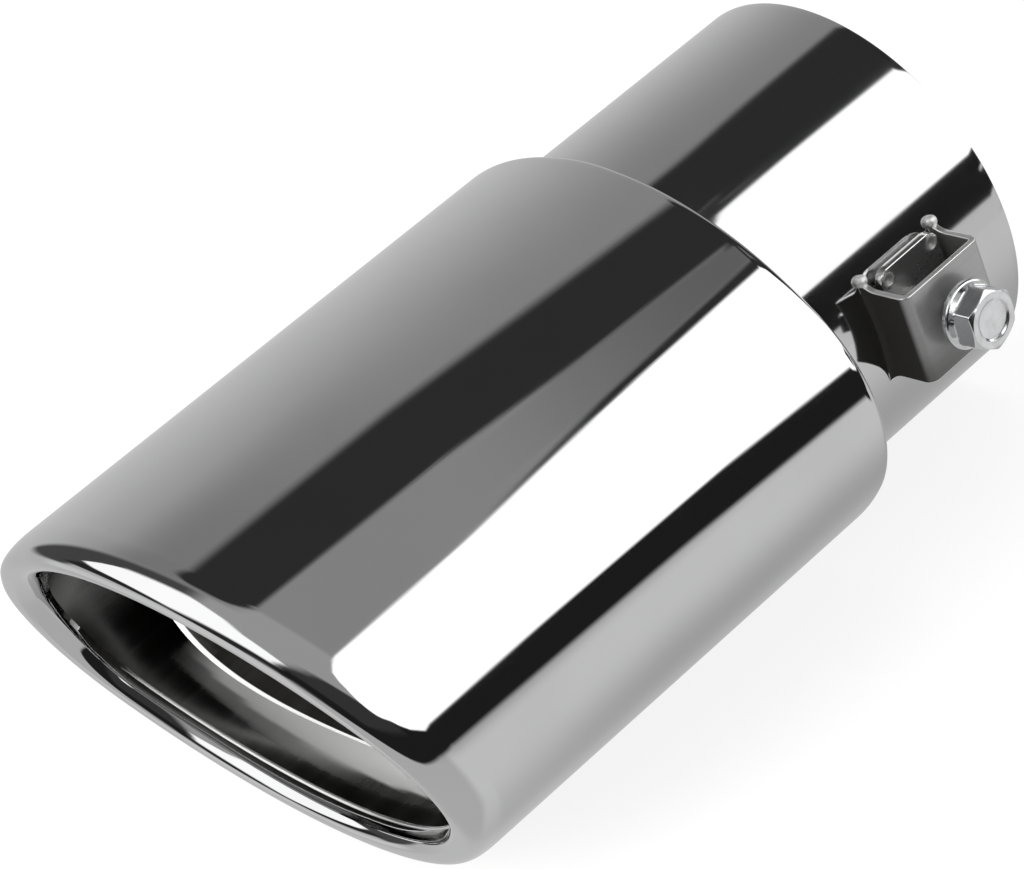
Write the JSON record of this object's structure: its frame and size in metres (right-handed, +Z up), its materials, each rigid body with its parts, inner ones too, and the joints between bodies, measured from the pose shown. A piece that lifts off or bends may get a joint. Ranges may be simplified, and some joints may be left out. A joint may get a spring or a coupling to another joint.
{
  "type": "exhaust tip",
  "caption": "Clamp-on exhaust tip in polished stainless steel, with an oval slash-cut sleeve, a rolled lip and a round inlet pipe with a bolt clamp",
  "frame": {"origin": "centre of the inlet pipe's rear rim, on the axis of its bore", "axes": "+Y runs along the pipe towards the car and the mouth faces -Y; +X is the oval's long axis on the clamp's side; +Z is up, on the long side of the slash cut"},
  "size_m": [0.0934, 0.1417, 0.0672],
  "materials": {
    "polished_sleeve": "mirror-polished stainless steel sheet",
    "polished_pipe": "polished stainless steel tube",
    "satin_bracket": "satin stainless steel sheet, folded and welded on",
    "satin_plate": "satin stainless steel sheet, pressed and tapped",
    "zinc_bolt": "bright zinc-plated steel"
  },
  "bodies": {
    "tip": {"outer_sleeve": "polished_sleeve", "inlet_pipe": "polished_pipe", "clamp_bracket": "satin_bracket", "nut_plate": "satin_plate"},
    "bolt": {"clamp_bolt": "zinc_bolt"}
  },
  "joints": [
    {"name": "bolt_feed", "type": "slide", "parent": "tip", "child": "bolt", "axis": [1, 0, 0], "range_m": [-0.0017, 0.0015]}
  ]
}
